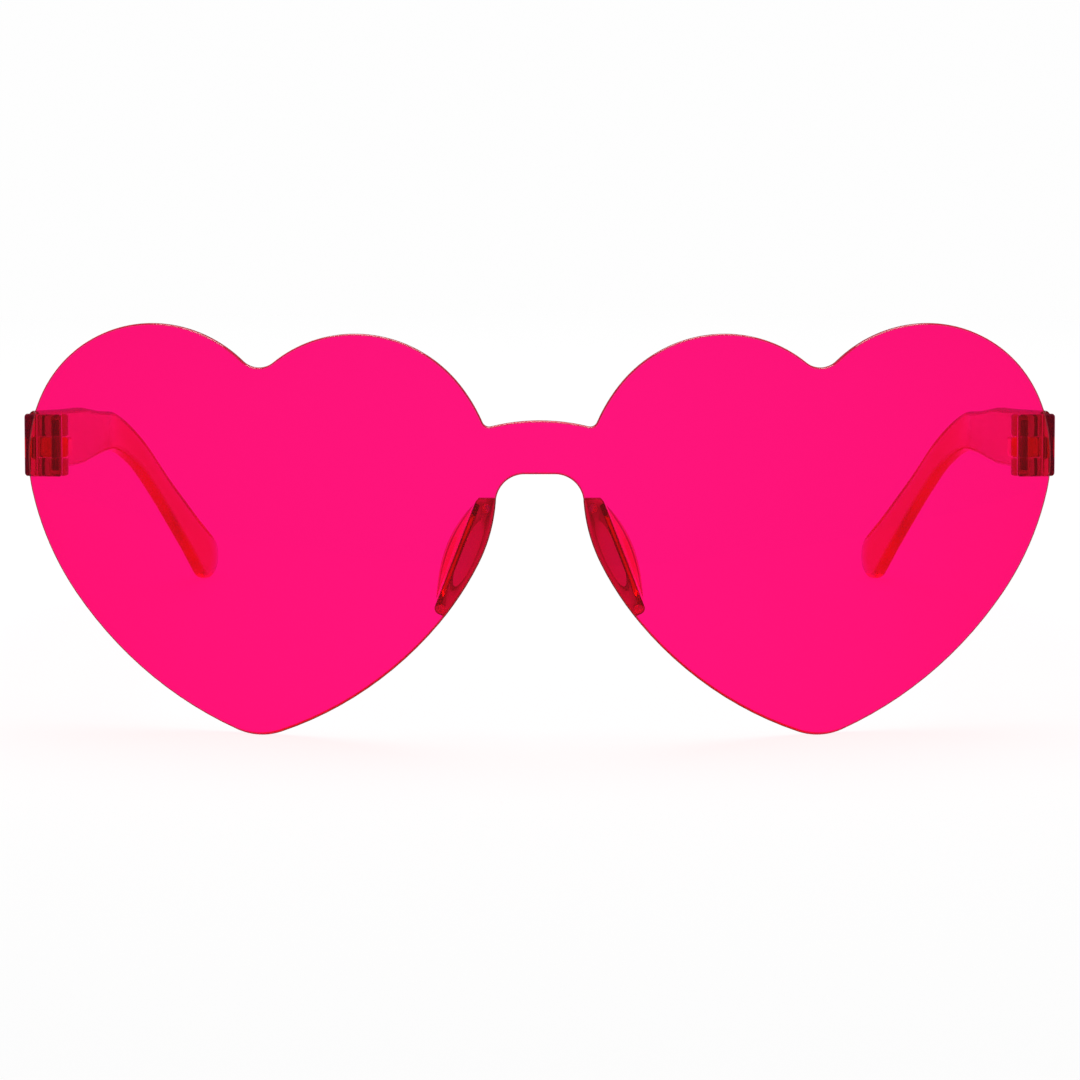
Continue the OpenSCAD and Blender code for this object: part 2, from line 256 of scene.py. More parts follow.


# %% [markdown]
# ## Duller parts and painted shade
# Two places are darker than the rest of their piece, and that dark is painted shade in the skin's
# colour.
# Lens and pads get a darker colour at their rims. It stands in for the deep red and the dark outlines
# that light gives as it bends in the rounded edges. The rims are also smoothed and not polished, so they
# let less light through and scatter some of it. The flange of a pad, where it lies on the lens, gets
# painted shade in front of the clear wing. It stands in for the dimmer light that its dished back and
# the faces between pad and lens bend toward the front. A second material would end at a hard line, so
# the skin's own values are mixed instead. A mark in the mesh says where the rims are, and along Y the
# flange fades into the wing.

# %% Rims and flanges
FLANGE_BACK = -77.6 * MM
FLANGE_FADE = 0.6 * MM


def painted_shade_part(material, colour):
    """Mixes a darker skin colour into a plastic as painted shade, and returns the socket that says how
    much of it there is.
    """
    nodes = material.node_tree.nodes
    links = material.node_tree.links
    base = nodes["Principled BSDF"].inputs["Base Color"]
    mix = nodes.new("ShaderNodeMixRGB")
    mix.inputs["Color1"].default_value = base.default_value[:]
    mix.inputs["Color2"].default_value = (*colour, 1)
    if base.is_linked:
        links.new(base.links[0].from_socket, mix.inputs["Color1"])
    links.new(mix.outputs["Color"], base)
    return mix.inputs["Fac"]


def dull_and_shaded_rim(material, colour, clearness):
    """Gives the marked rims a duller skin, and a darker colour that is painted shade. clearness is the
    share of light that isn't scattered.
    """
    nodes = material.node_tree.nodes
    links = material.node_tree.links
    rim = nodes.new("ShaderNodeAttribute")
    rim.attribute_name = "rim"
    weight = nodes["Principled BSDF"].inputs["Transmission Weight"]
    clear = nodes.new("ShaderNodeMapRange")
    clear.inputs["To Min"].default_value = weight.default_value
    clear.inputs["To Max"].default_value = clearness
    links.new(rim.outputs["Fac"], painted_shade_part(material, colour))
    links.new(rim.outputs["Fac"], clear.inputs["Value"])
    links.new(clear.outputs["Result"], weight)


def painted_flange_shade(material, colour):
    """Paints shade on a pad, as a darker skin colour where it lies on the lens, in front of its wing."""
    nodes = material.node_tree.nodes
    links = material.node_tree.links
    place = nodes.new("ShaderNodeTexCoord")
    split = nodes.new("ShaderNodeSeparateXYZ")
    ahead = nodes.new("ShaderNodeMapRange")
    ahead.inputs["From Min"].default_value = FLANGE_BACK + FLANGE_FADE
    ahead.inputs["From Max"].default_value = FLANGE_BACK
    links.new(place.outputs["Object"], split.inputs["Vector"])
    links.new(split.outputs["Y"], ahead.inputs["Value"])
    links.new(ahead.outputs["Result"], painted_shade_part(material, colour))


# %% Four plastics
lens_plastic = tinted_plastic(
    "lens_plastic", (0.999, 0.003, 0.2), ripple=0.02, ripple_size=9 * MM)
# Painted shade: the lens rims get a deeper red, standing in for the long way that light takes inside the
# edge of the sheet
dull_and_shaded_rim(lens_plastic, (0.9, 0.008, 0.08), clearness=0.3)
temple_plastic = tinted_plastic(
    "temple_plastic", (0.985, 0.04, 0.45), roughness=0.2, ior=1.17, skin_colour=(0.84, 0.88, 0.95))
block_plastic = tinted_plastic(
    "block_plastic", (0.97, 0.35, 0.75), ripple=0.03, ripple_size=3 * MM, ior=1.3,
    skin_colour=(0.62, 0.12, 0.4), clearness=0.96)
pad_plastic = tinted_plastic(
    "pad_plastic", (0.95, 0.02, 0.13), ripple=0.03, ripple_size=3 * MM, ior=1.2,
    skin_colour=(1, 0.6, 0.8), clearness=0.95)
# Painted shade: the flange is darker than the clear wing, standing in for the dimmer light that its
# dished back bends through it
painted_flange_shade(pad_plastic, (0.58, 0.6, 0.42))
# Painted shade: dark outlines round the pad's rims and its dish, where light bends at the edges
dull_and_shaded_rim(pad_plastic, (0.3, 0.05, 0.12), clearness=0.7)
print("Plastics for lens, temples, blocks and pads")

# %% [markdown]
# ## Steel
# The pins are drawn steel wire. A plain pin needs no better shape than the construction model gives it,
# so the two nodes are kept and only get a finish. Drawing leaves fine lines along the wire. They are too
# fine to model, so a noise that is stretched along the pin changes the roughness.

# %% Pins
STEEL_GREY = (0.48, 0.47, 0.47, 1)
LINE_WIDTH = 0.15 * MM
LINE_STRETCH = 0.05
SMOOTHEST = 0.25
ROUGHEST = 0.45


def pin_steel():
    """Drawn steel wire: fine lines along the pin, seen as a change in roughness."""
    material, nodes, links = new_finish("pin_steel")
    skin = nodes["Principled BSDF"]
    skin.inputs["Base Color"].default_value = STEEL_GREY
    skin.inputs["Metallic"].default_value = 1
    place = nodes.new("ShaderNodeTexCoord")
    lines = nodes.new("ShaderNodeTexNoise")
    lines.inputs["Scale"].default_value = 1 / LINE_WIDTH
    stretch = nodes.new("ShaderNodeMapping")
    stretch.inputs["Scale"].default_value = (1, 1, LINE_STRETCH)
    level = nodes.new("ShaderNodeMapRange")
    level.inputs["To Min"].default_value = SMOOTHEST
    level.inputs["To Max"].default_value = ROUGHEST
    links.new(place.outputs["Object"], stretch.inputs["Vector"])
    links.new(stretch.outputs["Vector"], lines.inputs["Vector"])
    links.new(lines.outputs["Fac"], level.inputs["Value"])
    links.new(level.outputs["Result"], skin.inputs["Roughness"])
    return material


steel = pin_steel()
for side in ("left", "right"):
    pin = frame["nodes"][side + "_hinge_pin"]
    pin.data.materials.clear()
    pin.data.materials.append(steel)
print("Steel on the two hinge pins")

# %% [markdown]
# ## The lens sheet
# Each heart is a ring of arcs that run into one another without a kink, as a draughtsman would set it
# out with compasses: tip, flank, hip, shoulder and crown on either side. A small circle fills the
# cleft, and two more lead into the bridge. The pen follows those arcs. One half is drawn, mirrored and
# filled, then given its thickness, rounded at the rims, cut into upright strips and bent round its
# cylinder.

# %% Sizes of the lens
LENS_R = 130
BACK_R = LENS_R - LENS_T
TIP_X = 39.4
# Radii from the tip up to the crown, and how far each arc but the last turns
OUTER_RADII = [8.7, 55.1, 38.8, 21, 18.8]
OUTER_TURNS = [22, 31.4, 23.3, 37.5]
NOSE_RADII = [9.1, 52.8, 44, 23.2, 18.6]
NOSE_TURNS = [20.3, 30, 12.9, 64.9]
CLEFT_R = 3.2
BRIDGE_TOP = 44.6
BRIDGE_LOW = 37.2
BRIDGE_R = 28
ARCH_R = 4
FILLET_R = 1
STRIP = 1.5
RIM = 0.22
RIM_STEPS = 3
AWAY = (0, -1, 0)

# %% Arcs of the outline


def pointing(angle):
    """The direction at an angle in degrees."""
    return Vector((cos(radians(angle)), sin(radians(angle))))


def angle_of(way):
    """The angle of a direction in degrees."""
    return degrees(atan2(way.y, way.x))


def flipped(point):
    """A point or a direction, mirrored left to right."""
    return Vector((-point.x, point.y))


def climb(radii, turns):
    """Centres of the arcs from a heart's tip up to its crown, and the angle where each one starts."""
    centre = Vector((0, radii[0]))
    angle = -90
    centres = [centre.copy()]
    angles = [angle]
    for k, turn in enumerate(turns):
        angle += turn
        centre += (radii[k] - radii[k + 1]) * pointing(angle)
        centres.append(centre.copy())
        angles.append(angle)
    return centres, angles


def meet(a, radius_a, b, radius_b):
    """The point at two distances from a and b, on the left of the way from a to b."""
    way = b - a
    along = (radius_a ** 2 - radius_b ** 2 + way.length ** 2) / (2 * way.length)
    aside = sqrt(radius_a ** 2 - along ** 2)
    ahead = way.normalized()
    return a + along * ahead + aside * Vector((-ahead.y, ahead.x))


def half_outline():
    """Arcs of one half, from the top of the bridge round a heart to the nose arch."""
    tip = Vector((TIP_X, 0))
    outer, outer_angles = climb(OUTER_RADII, OUTER_TURNS)
    nose, nose_angles = climb(NOSE_RADII, NOSE_TURNS)
    outer = [tip + c for c in outer]
    nose = [tip + flipped(c) for c in nose]
    cleft = meet(nose[-1], NOSE_RADII[-1] + CLEFT_R, outer[-1], OUTER_RADII[-1] + CLEFT_R)
    outer_end = angle_of(cleft - outer[-1])
    nose_end = angle_of(flipped(cleft - nose[-1]))
    bridge = Vector((0, BRIDGE_TOP - BRIDGE_R))
    fillet = meet(bridge, BRIDGE_R + FILLET_R, nose[3], NOSE_RADII[3] + FILLET_R)
    fillet_start = angle_of(fillet - bridge)
    fillet_end = angle_of(flipped(fillet - nose[3]))
    arch_angle = degrees(asin((BRIDGE_LOW - ARCH_R - nose[3].y) / NOSE_RADII[3]))
    arch_x = nose[3].x - NOSE_RADII[3] * cos(radians(arch_angle)) - ARCH_R
    arch = Vector((arch_x, BRIDGE_LOW - ARCH_R))
    arcs = [
        (bridge, 90, fillet_start),
        (fillet, fillet_start - 180, -fillet_end),
        (nose[3], 180 - fillet_end, 180 - nose_angles[4]),
        (nose[4], 180 - nose_angles[4], 180 - nose_end),
        (cleft, -nose_end, outer_end - 180),
        (outer[4], outer_end, outer_angles[4])]
    arcs += [(outer[k], outer_angles[k + 1], outer_angles[k]) for k in (3, 2, 1, 0)]
    arcs += [(nose[k], 180 - nose_angles[k], 180 - nose_angles[k + 1]) for k in (0, 1, 2)]
    arcs += [(nose[3], 180 - nose_angles[3], 180 - arch_angle), (arch, 0, 90)]
    return arcs


print("Arcs in each half of the outline:", len(half_outline()))

# %% Draw, thicken and bend the lens


def depth(radius, x):
    """How far a face of the sheet lies behind the front of the lens, at a distance from the middle."""
    return LENS_R - sqrt(radius ** 2 - x ** 2)


def draw_half_shield(bm):
    """Draws half the outline, open along the middle, and returns the pen's last vertex."""
    vert = bm.verts.new((0, 0, BRIDGE_TOP))
    for centre, start, end in half_outline():
        vert = draw_arc(bm, vert, (centre.x, 0, centre.y), AWAY, end - start)
    return draw_line(bm, vert, (0, 0, BRIDGE_LOW))


def bend_sheet(bm):
    """Bends a flat plate round the cylinder of the lens."""
    for vert in bm.verts:
        vert.co.y = depth(LENS_R - vert.co.y, vert.co.x)


bm = bmesh.new()
draw_half_shield(bm)
bmesh.ops.mirror(bm, geom=bm.verts[:] + bm.edges[:], axis="X", merge_dist=CLOSE)
fill(bm)
half_width = max(v.co.x for v in bm.verts)
thicken(bm, (0, LENS_T, 0))
round_edges(bm, RIM, RIM_STEPS)
slice_up(bm, (1, 0, 0), [0] + [w * x for x in span(0, half_width, STRIP) for w in (-1, 1)])
bend_sheet(bm)
drawn_lens = make_piece("drawn_lens", bm)
print(f"Sheet {2 * half_width:.1f} mm wide, {len(drawn_lens.data.polygons)} faces")

# %% [markdown]
# ## Nose pads
# A pad is a small moulding on the back of the sheet. A flange follows the edge of the lens, a thin wing
# stands on it and flares outward to lie on the side of the nose, and two pegs hold it in blind holes.
# The wing is drawn as a flat half disc and curled. The flange takes the lens's own outline, is trimmed
# round both pegs, and has a long dish in its back, which leaves its middle thinner and so a shade
# lighter. The holes in the lens are wider than the pegs, because two clear skins must not touch.

# %% Sizes of the pads
# The pegs and the ends of the pad round them, seen from the front
PAD_UPPER = Vector((7.4, 32.4))
PAD_LOWER = Vector((13.7, 18.3))
PAD_UPPER_R = 1.7
PAD_LOWER_R = 0.9
FLANGE_T = 1.2
FLANGE_SOFT = 0.25
WING_DEPTH = 7.5
WING_T = 0.8
WING_SOFT = 0.4 * WING_T
FLARE_R = 20
PEG_R = 0.6
PEG_DEPTH = 1.2
PEG_SEAM = 0.07
SEAM = 0.03
PAD_TOP = 1.4
# The dish's place from the front, and its half width, depth and half length
DISH_CENTRE = (9.9, 25.9)
DISH = (1.15, 0.35, 5.7)
DISH_SEGMENTS = 64

pad_way = (PAD_LOWER - PAD_UPPER).normalized()
ear_way = Vector((-pad_way.y, pad_way.x))
pad_length = (PAD_LOWER - PAD_UPPER).length
pad_angle = 90 + angle_of(pad_way)
taper = degrees(asin((PAD_UPPER_R - PAD_LOWER_R) / pad_length))
wing_rim = (pad_length ** 2 / 4 + WING_DEPTH ** 2) / (2 * WING_DEPTH)
print(f"Pegs {pad_length:.1f} mm apart, wing rim on a radius of {wing_rim:.1f} mm")

# %% Flange, dish and wing
TOP_CORNER = (20, 45)
LOWER_LOBE = (0, 22, 44, 66)


def trim(bm, point, normal):
    """Cuts the drawing along a line and drops what lies on the side of the normal."""
    bmesh.ops.bisect_plane(
        bm, geom=bm.verts[:] + bm.edges[:] + bm.faces[:], dist=CLOSE, clear_outer=True,
        plane_co=(point.x, 0, point.y), plane_no=(normal.x, 0, normal.y))


def between(turn):
    """A direction turned from the line of the pegs toward the ear."""
    return Matrix.Rotation(radians(turn), 2) @ pad_way


def make_flange():
    """Half the shield, trimmed to a strip along the nose edge and laid on the back of the lens."""
    bm = bmesh.new()
    last = draw_half_shield(bm)
    draw_line(bm, last, (0, 0, BRIDGE_TOP))
    fill(bm)
    trim(bm, PAD_UPPER + Vector((0, PAD_TOP)), Vector((0, 1)))
    for turn in TOP_CORNER:
        trim(bm, PAD_UPPER + PAD_UPPER_R * between(90 + turn), between(90 + turn))
    trim(bm, PAD_UPPER + PAD_UPPER_R * ear_way, between(90 - taper))
    for turn in LOWER_LOBE:
        trim(bm, PAD_LOWER + PAD_LOWER_R * between(turn), between(turn))
    bmesh.ops.translate(bm, vec=(0, LENS_T + SEAM, 0), verts=bm.verts[:])
    thicken(bm, (0, FLANGE_T - SEAM, 0))
    round_edges(bm, FLANGE_SOFT)
    slice_up(bm, (1, 0, 0), span(0, PAD_LOWER.x + PAD_UPPER_R, STRIP))
    bend_sheet(bm)
    return make_piece("flange", bm)


def make_dish():
    """A long bowl, as a tool that hollows the back of the flange."""
    bm = bmesh.new()
    bmesh.ops.create_uvsphere(bm, u_segments=DISH_SEGMENTS, v_segments=DISH_SEGMENTS // 2, radius=1)
    x, z = DISH_CENTRE
    seat = Matrix.Translation((x, depth(BACK_R - FLANGE_T, x), z))
    turn = Matrix.Rotation(radians(-pad_angle), 4, "Y")
    return make_piece("dish", bm, seat @ turn @ Matrix.Diagonal((*DISH, 1)))


def make_wing():
    """A half disc, rounded at the rim and curled outward to the back."""
    bm = bmesh.new()
    start = bm.verts.new((0, 0, -pad_length / 2))
    centre = (0, WING_DEPTH - wing_rim, 0)
    half_turn = 2 * degrees(atan2(pad_length / 2, wing_rim - WING_DEPTH))
    draw_arc(bm, start, centre, (1, 0, 0), half_turn)
    fill(bm)
    thicken(bm, (WING_T, 0, 0))
    round_edges(bm, WING_SOFT)
    slice_up(bm, (0, 1, 0), span(0, WING_DEPTH, STRIP / 2))
    flare_x = FLARE_R + (PAD_UPPER_R + PAD_LOWER_R) / 2 - WING_T
    for vert in bm.verts:
        vert.co.x = flare_x - sqrt((FLARE_R - vert.co.x) ** 2 - vert.co.y ** 2)
    middle = (PAD_UPPER + PAD_LOWER) / 2
    root = depth(BACK_R - FLANGE_T, PAD_LOWER.x) - FLANGE_T / 2
    turn = Matrix.Rotation(radians(taper - pad_angle), 4, "Y")
    return make_piece("wing", bm, Matrix.Translation((middle.x, root, middle.y)) @ turn)


# %% [markdown]
# ## Joining and cutting
# A moulding is one solid, and clear plastic shows every wall inside it. Meshes that only overlap would
# look like a tangle of inner walls. So parts that are drawn apart, such as a flange and its wing, are
# joined by a boolean that leaves one skin, and holes are cut the same way.

# %% Joining tools
ROD_SEGMENTS = 40


def join_or_cut(piece, tool, operation):
    """Joins a second solid to a piece, or cuts it out, and keeps the result as plain mesh."""
    step = piece.modifiers.new(operation.title(), "BOOLEAN")
    step.operation = operation
    step.solver = "MANIFOLD"
    step.object = tool
    bpy.context.view_layer.update()
    seen = piece.evaluated_get(bpy.context.evaluated_depsgraph_get())
    mesh = bpy.data.meshes.new_from_object(seen)
    mesh.name = piece.name
    piece.modifiers.clear()
    piece.data = mesh
    bpy.data.objects.remove(tool)


def rod(name, radius, low, high, place):
    """A round rod along Z of the drawing, as a tool for holes and pegs."""
    bm = bmesh.new()
    bmesh.ops.create_circle(bm, cap_ends=True, radius=radius, segments=ROD_SEGMENTS)
    bmesh.ops.translate(bm, vec=(0, 0, low), verts=bm.verts[:])
    thicken(bm, (0, 0, high - low))
    return make_piece(name, bm, place)


# %% Pads and their holes
SIDES = {"left": Matrix(), "right": Matrix.Scale(-1, 4, (1, 0, 0))}
TO_BACK = Matrix.Rotation(radians(-90), 4, "X")


def peg_seat(peg):
    """The seat of a peg on the back of the lens, with Z of the drawing to the back."""
    return Matrix.Translation((peg.x, depth(BACK_R, peg.x), peg.y)) @ TO_BACK


pad = make_flange()
join_or_cut(pad, make_dish(), "DIFFERENCE")
join_or_cut(pad, make_wing(), "UNION")
for peg in (PAD_UPPER, PAD_LOWER):
    seat = peg_seat(peg)
    join_or_cut(pad, rod("peg", PEG_R - PEG_SEAM, PEG_SEAM - PEG_DEPTH, FLANGE_T / 2, seat), "UNION")
    for mirror in SIDES.values():
        join_or_cut(drawn_lens, rod("socket", PEG_R, -PEG_DEPTH, FLANGE_T, mirror @ seat), "DIFFERENCE")
print(f"Pad with {len(pad.data.polygons)} faces, lens with {len(drawn_lens.data.polygons)}")

# %% [markdown]
# ## Shading and rims
# Each drawn solid is copied to its place, as it is or mirrored. Clear plastic shows the shading of its
# front and its back, so uneven normals look like dents. On most pieces the large faces may steer the
# normals of the small ones beside them, which a modifier does. A curled plate needs more, because the
# outline has points between the ends of its strips: there the normals of the true curve are written
# into the mesh. Last, the rounded rims are marked, where lens and pads take a duller skin and painted
# shade. Last, the rounded rims are marked for the finish.

# %% Tools for shading and placing
SHARP_ANGLE = 32
RIM_ANGLE = 15
# Cosines of the angles within which a face lies in the plate, or bends into it
IN_PLATE = 0.9985
INTO_PLATE = 0.8


def mark_rim(mesh, verts):
    """Writes which vertices belong to a rim, where lens and pads take a duller skin and painted shade.
    """
    rim = mesh.attributes.new("rim", "FLOAT", "POINT")
    rim.data.foreach_set("value", [1 if v.index in verts else 0 for v in mesh.vertices])


def rounded(mesh):
    """Vertices inside rounded edges, where the skin turns fast."""
    bm = bmesh.new()
    bm.from_mesh(mesh)
    verts = {v.index for e in bm.edges if e.calc_face_angle(0) > radians(RIM_ANGLE) for v in e.verts}
    bm.free()
    return verts


def follow_curve(mesh, place, across):
    """Shades a curled plate as the true curve. Its strips have outline points between their ends, and
    the flat normals there would put small steps into everything that is seen through the plate.
    What doesn't lie in the plate is marked as its rim."""
    turn = place.to_3x3().normalized()
    back = place.inverted()
    ways = [(turn @ across(back @ v.co)).normalized() for v in mesh.vertices]
    flat = set()
    for face in mesh.polygons:
        flat.update(v for v in face.vertices if abs(face.normal.dot(ways[v])) > IN_PLATE)
    normals = [Vector()] * len(mesh.loops)
    for face in mesh.polygons:
        for k, v in zip(face.loop_indices, face.vertices):
            side = face.normal.dot(ways[v])
            if v in flat and abs(side) > INTO_PLATE:
                normals[k] = ways[v] if side > 0 else -ways[v]
    mesh.normals_split_custom_set(normals)
    mark_rim(mesh, {v.index for v in mesh.vertices} - flat)


def set_in_place(drawn, name, place, material, body, node, across=None):
    """Copies a drawn solid into the frame, with smooth shading, its finish and its CAD node.
    across gives the direction through a curled plate, at a point of the drawing."""
    mesh = drawn.data.copy()
    mesh.name = name
    mesh.transform(place)
    if place.is_negative:
        mesh.flip_normals()
    mesh.shade_smooth()
    mesh.set_sharp_from_angle(angle=radians(SHARP_ANGLE))
    piece = bpy.data.objects.new(name, mesh)
    bpy.context.scene.collection.objects.link(piece)
    if across:
        follow_curve(mesh, place, across)
    else:
        mark_rim(mesh, rounded(mesh))
        piece.modifiers.new("Even shading", "WEIGHTED_NORMAL").keep_sharp = True
    mesh.materials.clear()
    mesh.materials.append(material)
    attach(piece, body)
    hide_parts(node)
    print(f"{name}: {len(mesh.polygons)} faces, stands for {node}")


def drop(*drawn):
    """Removes solids that were only drawn to be copied."""
    for piece in drawn:
        bpy.data.objects.remove(piece)


# %% Lens and pads in place
for side, mirror in SIDES.items():
    set_in_place(pad, "nose_pad." + side, UPRIGHT @ mirror, pad_plastic, "front",
                 side + "_nose_pad")
set_in_place(drawn_lens, "lens_sheet", UPRIGHT, lens_plastic, "front", "front_lens",
             lambda point: Vector((point.x, point.y - LENS_R, 0)))
drop(pad, drawn_lens)

# %% [markdown]
# ## Hinge blocks
# Behind each temple end of the sheet sits a block with a thin foot, which is cemented on the lens, and
# two barrels that hold the pin. Foot and block have the same height, so one plan outline gives both:
# the pen follows the back of the lens, runs to the hinge and comes back. The lens leans and the block
# doesn't, so the foot is sheared to fit it. The barrels are joined on, and the pin's hole is cut last.

# %% Sizes of the hinge
BLOCK_H = 9
BLOCK_W = 2.6
BLOCK_REACH = 4.6
BLOCK_SOFT = 0.45
BARREL_SOFT = 0.4
FOOT_T = 1.2
BARREL_R = 1.75
MID_H = 2.9
MID_DROP = 0.3
GUSSET_L = 8.4
GUSSET_FLAT_L = 4.5
PIN_R = 0.5
PIN_L = 7.2
PIN_SUNK = 0.9
PIN_GAP = 0.05
BARREL_GAP = 0.1
BUTT_GAP = 0.1
OVERRUN = 1
UPWARD = (0, 0, 1)

block_x = hinge_x + BLOCK_REACH
block_low = HINGE_Z - BLOCK_H / 2
block_high = HINGE_Z + BLOCK_H / 2
mid_low = HINGE_Z - MID_DROP - MID_H / 2
mid_high = mid_low + MID_H
pin_low = block_high - PIN_SUNK - PIN_L
lean = radians(LENS_LEAN)
print(f"Block from {block_low:.1f} to {block_high:.1f} mm, middle barrel from {mid_low:.1f}"
      f" to {mid_high:.1f} mm")

# %% Block, barrels and bore


def level_depth(radius, x, z):
    """Depth of a face of the leaning lens in the level space."""
    return (depth(radius, x) - z * sin(lean)) / cos(lean)


def draw_lens_arc(bm, radius, x_start, x_end):
    """Follows a face of the lens in plan, at the height of the hinge, and returns both ends."""
    centre = (0, level_depth(radius, 0, HINGE_Z) + radius, 0)
    start = bm.verts.new((x_start, level_depth(radius, x_start, HINGE_Z), 0))
    turn = degrees(asin(x_end / radius) - asin(x_start / radius))
    return start, draw_arc(bm, start, centre, UPWARD, turn)


def make_block():
    """Block and foot as one plan outline, pulled up, with the foot sheared to the leaning lens."""
    foot_in = hinge_x - BARREL_R
    block_in = block_x - BLOCK_W
    bm = bmesh.new()
    front_in, last = draw_lens_arc(bm, BACK_R - SEAM, foot_in, block_x)
    last = draw_line(bm, last, (block_x, HINGE_Y, 0))
    last = draw_line(bm, last, (block_in, HINGE_Y, 0))
    inner, foot_end = draw_lens_arc(bm, BACK_R - FOOT_T, foot_in, block_in)
    bmesh.ops.contextual_create(bm, geom=[last, foot_end])
    bmesh.ops.contextual_create(bm, geom=[front_in, inner])
    fill(bm)
    bmesh.ops.translate(bm, vec=(0, 0, block_low), verts=bm.verts[:])
    thicken(bm, (0, 0, BLOCK_H))
    round_edges(bm, BLOCK_SOFT)
    foot_back = level_depth(BACK_R - FOOT_T, block_x, HINGE_Z) + BLOCK_SOFT
    for vert in bm.verts:
        if vert.co.y < foot_back:
            vert.co.y -= (vert.co.z - HINGE_Z) * tan(lean)
    return make_piece("block", bm)


def make_barrel(low, high):
    """A barrel with the short web that carries it on the block."""
    web_x = block_x - BLOCK_W / 2
    bm = bmesh.new()
    start = bm.verts.new((hinge_x + BARREL_R, HINGE_Y, low))
    last = draw_arc(bm, start, (hinge_x, HINGE_Y, low), UPWARD, 270)
    last = draw_line(bm, last, (web_x, HINGE_Y - BARREL_R, low))
    draw_line(bm, last, (web_x, HINGE_Y, low))
    fill(bm)
    thicken(bm, (0, 0, high - low))
    round_edges(bm, BARREL_SOFT)
    return make_piece("barrel", bm)


on_axis = Matrix.Translation((hinge_x, HINGE_Y, 0))
block = make_block()
join_or_cut(block, make_barrel(block_low, mid_low - BARREL_GAP), "UNION")
join_or_cut(block, make_barrel(mid_high + BARREL_GAP, block_high), "UNION")
bore = rod("bore", PIN_R + SEAM / 2, pin_low - SEAM, block_high + OVERRUN, on_axis)
join_or_cut(block, bore, "DIFFERENCE")
for side, mirror in SIDES.items():
    set_in_place(block, "hinge_block." + side, LEVEL @ mirror, block_plastic, "front",
                 side + "_end_piece")
drop(block)

# %% [markdown]
# ## Temples
# A temple is a flat arm of one thickness, deep at the hinge, slim in the middle and round at the ear
# tip. Seen from the side it bends down over the ear, and seen from above it turns in toward the head.
# It is drawn flat from the side, along its lower edge, round the ear tip and back along its upper edge.
# Then it is thickened, rounded, cut into strips where it turns in, and curled to its plan. Its edges lie
# up to half a millimetre outside the construction model, where the photograph shows the arm broader.

# %% Sizes of a temple
# From the side: the arm rises a little to its bend, and drops behind it
ARM_LENGTH = 85
RISE = 0.9
BEND_R = 36.5
DROP = 33
HOOK_L = 29.5
EAR_R = 3.9
# From above: it leans inward a little from the hinge, and wraps further in near the ear
TEMPLE_T = 2.2
TOE = 1.6
WRAP_START = 83
WRAP_R = 65
WRAP = 18
# Places along the arm, and its half height there as a share of the ear tip's radius
ARM_SHARES = [0, 0.25, 0.37, 0.53, 0.64, 0.77, 0.84, 0.91, 0.96, 0.985, 1]
HALF_SHARES = [1.21, 1.13, 1.13, 0.88, 0.8, 0.6, 0.61, 0.74, 0.84, 0.97, 1]
STATIONS = 120
ARM_SOFT = 0.8
EASE = 3

bend_l = BEND_R * radians(RISE + DROP)
temple_l = ARM_LENGTH + bend_l + HOOK_L
rise_way = pointing(RISE)
arm_root = Vector((HINGE_Y, block_low + EAR_R * HALF_SHARES[0]))
bend_start = arm_root + ARM_LENGTH * rise_way
bend_centre = bend_start + BEND_R * Vector((rise_way.y, -rise_way.x))
print(f"Temple {temple_l:.0f} mm along the bend, before its round tip")

# %% Side view of a temple


def middle_line(s):
    """Point and heading of the arm's middle line, in the side view, at a length from the hinge."""
    if s < ARM_LENGTH:
        return bend_start - (ARM_LENGTH - s) * rise_way, RISE
    heading = max(-DROP, RISE - degrees((s - ARM_LENGTH) / BEND_R))
    way = pointing(heading)
    point = bend_centre + BEND_R * Vector((-way.y, way.x))
    return point + max(0, s - ARM_LENGTH - bend_l) * way, heading


def share_at(share):
    """Half height as a share, between the two nearest entries of the table."""
    share = min(max(share, 0), 1)
    k = max(i for i, a in enumerate(ARM_SHARES[:-1]) if a <= share)
    part = (share - ARM_SHARES[k]) / (ARM_SHARES[k + 1] - ARM_SHARES[k])
    return HALF_SHARES[k] + part * (HALF_SHARES[k + 1] - HALF_SHARES[k])


def half_height(s):
    """The table's shape with its corners eased. It ends at the ear tip's centre."""
    near = [share_at((s + EASE * k) / temple_l) for k in (-1, -0.5, 0, 0.5, 1)]
    return EAR_R * sum(near) / len(near)


# %% Plan of a temple
wrap_x = block_x - TEMPLE_T / 2 - WRAP_START * tan(radians(TOE))
wrap_centre = Vector((wrap_x, HINGE_Y + WRAP_START)) - WRAP_R * pointing(TOE)


def plan_turn(y, radius):
    """How far the arm has turned in, in plan, at a depth behind the lens."""
    if y < wrap_centre.y:
        return TOE
    return min(max(degrees(asin(min((y - wrap_centre.y) / radius, 1))), TOE), WRAP)


def plan_x(y, aside):
    """Distance from the middle of the glasses, for a layer of the arm at a depth behind the lens."""
    turn = plan_turn(y, WRAP_R + aside)
    touch = wrap_centre + (WRAP_R + aside) * pointing(turn)
    return touch.x - (y - touch.y) * tan(radians(turn))


# %% Arm, gusset and middle barrel


def draw_edge(bm, vert, places, side):
    """Draws the arm's lower or upper edge, along the places given."""
    for s in places:
        point, heading = middle_line(s)
        way = pointing(heading)
        y, z = point + side * half_height(s) * Vector((-way.y, way.x))
        vert = draw_line(bm, vert, (-TEMPLE_T / 2, y, z))
    return vert


